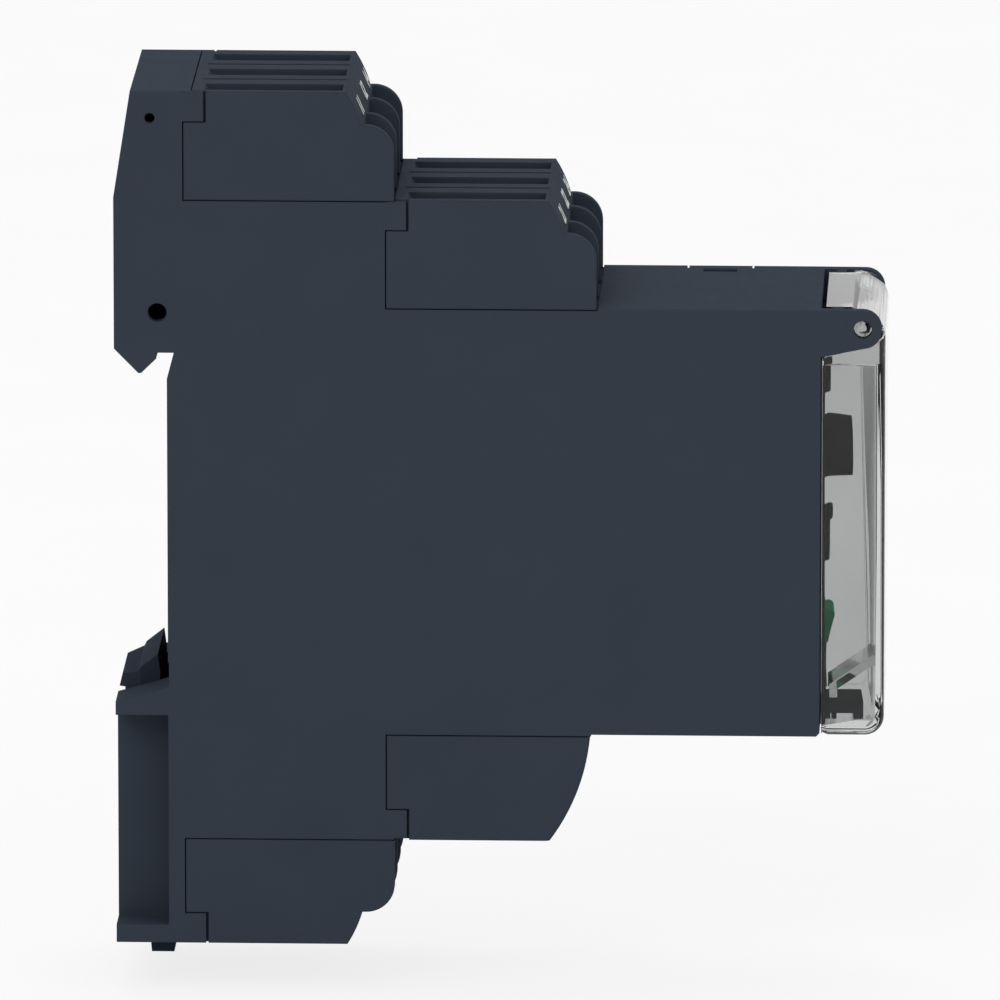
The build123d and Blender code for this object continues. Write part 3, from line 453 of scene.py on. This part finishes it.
def grip_ring(name, z, body):
    """Knurled finger ring round the face of a dial."""
    form = bmesh.new()
    rings = []
    for step in range(GRIP_STEPS):
        angle = 2 * math.pi * step / GRIP_STEPS
        ring = []
        for x, radius in GRIP_SECTION:
            if radius > GRIP_MIDDLE and step % 2:
                radius -= GRIP_KNURL
            point = Vector((x, radius * math.sin(angle), z + radius * math.cos(angle)))
            ring.append(form.verts.new(point * MM))
        rings.append(ring)
    for step in range(GRIP_STEPS):
        this, after = rings[step], rings[(step + 1) % GRIP_STEPS]
        for i in range(len(GRIP_SECTION)):
            j = (i + 1) % len(GRIP_SECTION)
            form.faces.new((this[i], this[j], after[j], after[i]))
    add_piece(name, made_mesh(form, name), knob_plastic, body)


# Finger rings and raised pointers on the two dials
for name, z, _, _ in (DIALS[0], DIALS[2]):
    dial = f"{name}_dial"
    grip_ring(f"{dial}_grip", z, dial)
    pointer = [(x, z + up) for x, up in POINTER_OUTLINE]
    side_strip(f"{dial}_pointer", pointer, *POINTER_DEPTHS, knob_plastic, "knob_moulding", dial)

# Pole numbers on the bevels of the terminal blocks
number = 0
for row, bay in enumerate(BAYS, 1):
    side = bay[2]
    start = bay_point(bay, BEVEL_START_U, 0, 0)
    end = bay_point(bay, BEVEL_END_U, 0, BEVEL_V)
    up = (start - end).normalized() * side
    across = Vector((0, 1, 0))
    out = across.cross(up)
    swell = 4 * NUMBER_DOWN * (1 - NUMBER_DOWN) * BEVEL_CROWN
    middle = start.lerp(end, NUMBER_DOWN) + out * swell * MM
    for centre, digit in zip(POLE_CENTRES, POLE_DIGITS):
        number += 1
        facing = basis(middle + Vector((0, centre * MM, 0)), across, up)
        name = f"pole_number_{number}"
        printed(name, f"{row}{digit}", NUMBER_SIZE, facing, ink, "housing", NUMBER_WEIGHT)


def tick_ring(name, z, inner, outer, body):
    """Ring of radial scale lines printed round a control."""
    form = bmesh.new()
    for step in TICK_STEPS:
        angle = math.radians(step * TICK_ANGLE)
        direction = Vector((0, math.sin(angle), math.cos(angle)))
        side = Vector((0, math.cos(angle), -math.sin(angle))) * TICK_HALF_WIDTH
        centre = Vector((PANEL_X, 0, z))
        corners = []
        for lift in TICK_LIFTS:
            for radius, sign in ((inner, -1), (inner, 1), (outer, 1), (outer, -1)):
                point = centre + direction * radius + side * sign + Vector((lift, 0, 0))
                corners.append(form.verts.new(point * MM))
        form.faces.new(corners[3::-1])
        form.faces.new(corners[4:])
        for i in range(4):
            j = (i + 1) % 4
            form.faces.new((corners[i], corners[j], corners[4 + j], corners[4 + i]))
    add_piece(name, made_mesh(form, name), ink, body)


for name, z, radius, words in DIALS:
    inner = radius + TICK_GAP
    tick_ring(f"{name}_scale", z, inner, inner + TICK_LENGTH, "housing")
    for step, word in zip(NUMBER_STEPS, words):
        angle = math.radians(step * TICK_ANGLE)
        reach = radius + SCALE_NUMBER_REACH
        origin = Vector((PANEL_X, reach * math.sin(angle), z + reach * math.cos(angle))) * MM
        facing = basis(origin, Vector((0, 1, 0)), Vector((0, 0, 1)))
        printed(f"{name}_scale_number_{word}", word, SCALE_NUMBER_SIZE, facing, ink, "housing")

# Floor, lights and background; the floor leaves room for the clip's pull tab
lowest = cad_box[0][2] - CLIP_TRAVEL * MM
floor_mesh = bpy.data.meshes.new("floor")
corners = ((-1, -1), (1, -1), (1, 1), (-1, 1))
floor_mesh.from_pydata([(x * FLOOR_REACH, y * FLOOR_REACH, lowest) for x, y in corners], [], [(0, 1, 2, 3)])
floor = bpy.data.objects.new("floor", floor_mesh)
bpy.context.collection.objects.link(floor)
floor_material, tree, shader = new_material("floor_paper")
shader.inputs["Roughness"].default_value = 0.9
tone = ramp(tree, noise(tree, 40.0, 3.0), 0.3, 0.7, linear(238, 238, 238), linear(244, 244, 244))
tree.links.new(tone, shader.inputs["Base Color"])


def seen_directly(tree):
    """1 where a camera, glossy or transmitted ray looks, 0 for the light on the object."""
    path = tree.nodes.new("ShaderNodeLightPath")
    first = tree.nodes.new("ShaderNodeMath")
    first.operation = "MAXIMUM"
    second = tree.nodes.new("ShaderNodeMath")
    second.operation = "MAXIMUM"
    tree.links.new(path.outputs["Is Camera Ray"], first.inputs[0])
    tree.links.new(path.outputs["Is Glossy Ray"], first.inputs[1])
    tree.links.new(first.outputs["Value"], second.inputs[0])
    tree.links.new(path.outputs["Is Transmission Ray"], second.inputs[1])
    return second.outputs["Value"]


paper_glow = tree.nodes.new("ShaderNodeEmission")
paper_glow.inputs["Color"].default_value = WHITE
share = tree.nodes.new("ShaderNodeMath")
share.operation = "MULTIPLY"
share.inputs[1].default_value = FLOOR_GLOW
mix = tree.nodes.new("ShaderNodeMixShader")
tree.links.new(seen_directly(tree), share.inputs[0])
tree.links.new(share.outputs["Value"], mix.inputs["Fac"])
tree.links.new(shader.outputs["BSDF"], mix.inputs[1])
tree.links.new(paper_glow.outputs["Emission"], mix.inputs[2])
tree.links.new(mix.outputs["Shader"], tree.nodes["Material Output"].inputs["Surface"])
floor_mesh.materials.append(floor_material)

world = bpy.data.worlds.new("studio")
bpy.context.scene.world = world
world.use_nodes = True
tree = world.node_tree
background = tree.nodes["Background"]
background.inputs["Color"].default_value = WHITE
level = tree.nodes.new("ShaderNodeMapRange")
level.inputs["To Min"].default_value = WORLD_LIGHT
level.inputs["To Max"].default_value = 1.0
tree.links.new(seen_directly(tree), level.inputs["Value"])
tree.links.new(level.outputs["Result"], background.inputs["Strength"])


def softbox(name, place, size, power):
    """Square area light aimed at the middle of the part."""
    light = bpy.data.lights.new(name, "AREA")
    light.size = size
    light.energy = power
    lamp = bpy.data.objects.new(name, light)
    bpy.context.collection.objects.link(lamp)
    lamp.location = place
    lamp.rotation_euler = (LAMP_AIM - Vector(place)).to_track_quat("-Z", "Y").to_euler()


for lamp in LAMPS:
    softbox(*lamp)

# Camera
back = Vector((
    math.sin(CAMERA_YAW) * math.cos(CAMERA_TILT),
    -math.cos(CAMERA_YAW) * math.cos(CAMERA_TILT),
    math.sin(CAMERA_TILT),
))
camera = bpy.data.objects.new("camera", bpy.data.cameras.new("camera"))
bpy.context.collection.objects.link(camera)
camera.data.sensor_width = SENSOR
camera.data.lens = CAMERA_LENS
camera.data.clip_end = CAMERA_SIGHT
camera.location = CAMERA_TARGET + back * CAMERA_DISTANCE
camera.rotation_euler = (-back).to_track_quat("-Z", "Y").to_euler()
bpy.context.scene.camera = camera
bpy.context.scene.view_settings.view_transform = "Standard"
